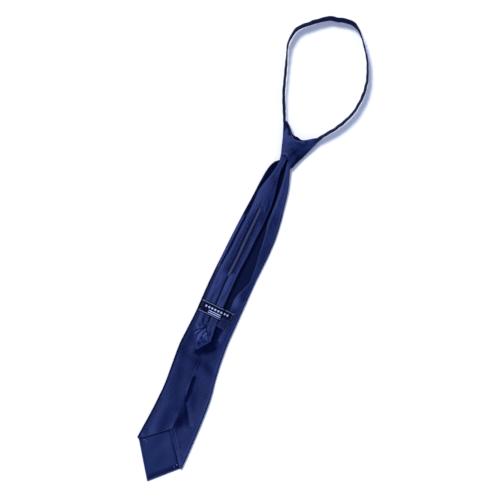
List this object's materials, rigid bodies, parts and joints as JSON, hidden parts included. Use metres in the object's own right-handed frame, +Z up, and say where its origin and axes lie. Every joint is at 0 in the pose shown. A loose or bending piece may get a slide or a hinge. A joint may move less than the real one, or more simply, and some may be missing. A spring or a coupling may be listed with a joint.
{
  "type": "zipper tie",
  "caption": "Pre-tied navy zipper necktie lying face down, its neck loop open, its zipped tail held under a keeper label on the back of the pointed blade.",
  "frame": {"origin": "middle of the tie's box, on the surface that it lies on", "axes": "+Y from the pointed end of the blade to the top of the neck loop, +X to the right as seen from above, +Z up out of the back of the tie"},
  "size_m": [0.1374, 0.7548, 0.0216],
  "materials": {
    "tie_cloth": "navy polyester satin with a fine diagonal twill and a soft sheen",
    "tipping_cloth": "smooth navy lining cloth",
    "band_cloth": "navy folded cloth strap with stitched edges",
    "label_cloth": "near-black navy woven satin ribbon with a plain pale border",
    "zip_tape": "navy zip tape with a closed nylon coil"
  },
  "bodies": {
    "root": {"main_blade": "tie_cloth", "blade_tipping": "tipping_cloth", "tail": "tie_cloth", "tail_tipping": "tipping_cloth", "zip_chain": "zip_tape", "keeper_label": "label_cloth", "knot": "tie_cloth", "neck_band": "band_cloth"}
  },
  "joints": []
}
